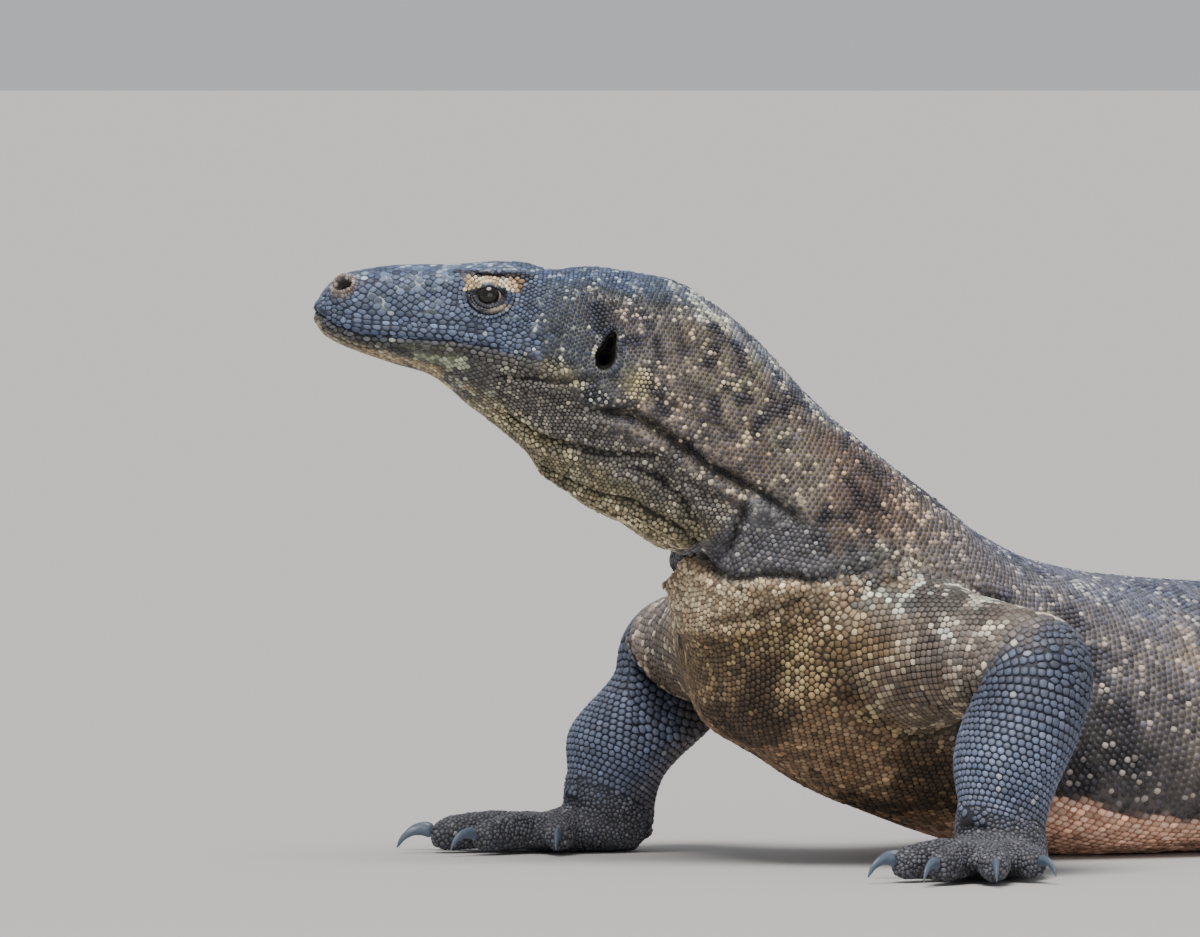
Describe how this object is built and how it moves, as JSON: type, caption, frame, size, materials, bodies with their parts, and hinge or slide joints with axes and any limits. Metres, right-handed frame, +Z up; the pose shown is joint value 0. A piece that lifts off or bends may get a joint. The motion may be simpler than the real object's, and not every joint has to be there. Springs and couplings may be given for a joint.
{
  "type": "komodo dragon",
  "caption": "Life-size still Komodo dragon, a large monitor lizard resting on its belly with chest and head raised and turned.",
  "frame": {"origin": "on the floor under the middle of the animal's box, at its box's lowest level", "axes": "+X from the chest towards the tail, +Y to the animal's right, +Z up"},
  "size_m": [2.3508, 0.7618, 0.3874],
  "materials": {
    "hide": "dull scaly hide",
    "claw": "smooth dark horn",
    "eye": "wet gloss"
  },
  "bodies": {
    "root": {"eye_left": "eye", "eye_right": "eye", "finger_claw_left_1": "claw", "finger_claw_left_2": "claw", "finger_claw_left_3": "claw", "finger_claw_left_4": "claw", "finger_claw_left_5": "claw", "finger_claw_right_1": "claw", "finger_claw_right_2": "claw", "finger_claw_right_3": "claw", "finger_claw_right_4": "claw", "finger_claw_right_5": "claw", "foot_left": "hide", "foot_right": "hide", "forearm_left": "hide", "forearm_right": "hide", "hand_left": "hide", "hand_right": "hide", "head": "hide", "lower_jaw": "hide", "neck": "hide", "shank_left": "hide", "shank_right": "hide", "tail_base": "hide", "tail_end": "hide", "tail_middle": "hide", "thigh_left": "hide", "thigh_right": "hide", "toe_claw_left_1": "claw", "toe_claw_left_2": "claw", "toe_claw_left_3": "claw", "toe_claw_left_4": "claw", "toe_claw_left_5": "claw", "toe_claw_right_1": "claw", "toe_claw_right_2": "claw", "toe_claw_right_3": "claw", "toe_claw_right_4": "claw", "toe_claw_right_5": "claw", "trunk": "hide", "upper_arm_left": "hide", "upper_arm_right": "hide"}
  },
  "joints": []
}
